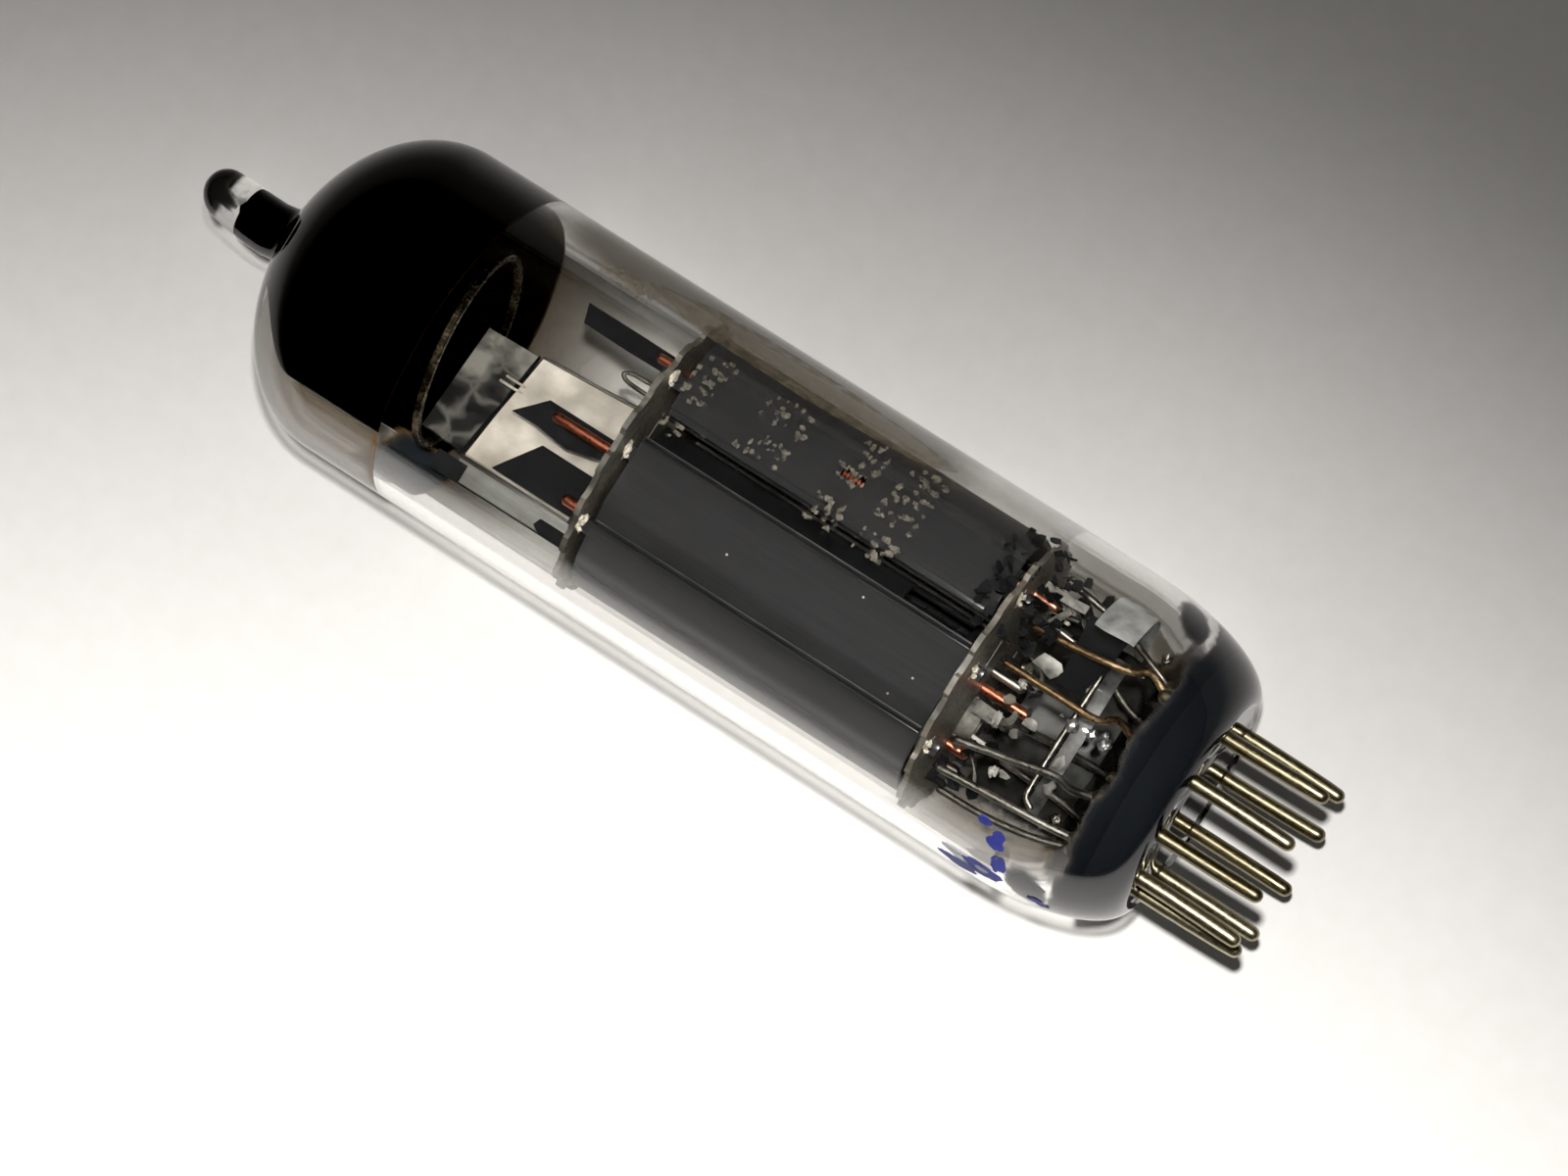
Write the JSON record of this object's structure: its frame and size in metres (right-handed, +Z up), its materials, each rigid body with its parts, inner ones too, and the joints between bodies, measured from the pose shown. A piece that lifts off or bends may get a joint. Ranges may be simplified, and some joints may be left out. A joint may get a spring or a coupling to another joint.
{
  "type": "vacuum tube",
  "caption": "Glass-bulb triode-pentode vacuum tube with a nine-pin pressed glass base, mica-spaced electrode cage, getter ring and exhaust tip, lying on its side.",
  "frame": {"origin": "centre of the seating plane, the flat centre of the glass base between the pins", "axes": "+X along the tube's axis from the base to the exhaust tip, pins towards -X; +Z up, the tube lying on its side on the bulb; the wide gap between the first and last pin faces -Y"},
  "size_m": [0.0786, 0.021, 0.021],
  "materials": {
    "glass": "clear, faintly smoked near the getter",
    "contact_pins": "tarnished, satin",
    "nickel_wire": "satin nickel",
    "grid_nickel": "satin nickel",
    "grid_copper": "copper plated, satin",
    "bright_sheet": "bright rolled nickel sheet",
    "black_sheet": "matt blackened sheet",
    "anode_sheet": "dark grey carbonised sheet, semi matt",
    "mica": "brown-grey mica, slightly translucent",
    "getter_ring": "heat-tinted channel ring",
    "getter_mirror": "black metallic film, brown at its edge",
    "cathode_sleeve": "oxide-coated nickel sleeve",
    "heater_coating": "white alumina coating"
  },
  "bodies": {
    "root": {"anode_strap": "nickel_wire", "bottom_mica": "mica", "cathode_strap": "bright_sheet", "cooling_fin_1": "black_sheet", "cooling_fin_2": "black_sheet", "cooling_fin_3": "black_sheet", "cooling_fin_4": "black_sheet", "cross_wire": "nickel_wire", "getter_mirror": "getter_mirror", "getter_ring": "getter_ring", "getter_shield": "bright_sheet", "getter_strap": "nickel_wire", "glass_bulb": "glass", "heater_screen": "black_sheet", "lead_1": "nickel_wire", "lead_2": "nickel_wire", "lead_3": "nickel_wire", "lead_4": "nickel_wire", "lead_5": "nickel_wire", "lead_6": "nickel_wire", "lead_7": "nickel_wire", "lead_8": "nickel_wire", "lead_9": "nickel_wire", "lower_shield": "bright_sheet", "mica_rod_1": "nickel_wire", "mica_rod_2": "nickel_wire", "pentode_anode": "anode_sheet", "pentode_cathode": "cathode_sleeve", "pentode_grid_1": "grid_copper", "pentode_grid_2": "grid_nickel", "pentode_grid_3": "grid_nickel", "pentode_heater": "heater_coating", "pin_1": "contact_pins", "pin_2": "contact_pins", "pin_3": "contact_pins", "pin_4": "contact_pins", "pin_5": "contact_pins", "pin_6": "contact_pins", "pin_7": "contact_pins", "pin_8": "contact_pins", "pin_9": "contact_pins", "rear_shield": "black_sheet", "stem_button": "glass", "system_shield": "black_sheet", "top_mica": "mica", "top_wire_loop": "nickel_wire", "triode_anode": "anode_sheet", "triode_cathode": "cathode_sleeve", "triode_grid": "grid_copper", "triode_heater": "heater_coating", "upper_shield": "bright_sheet"}
  },
  "joints": []
}
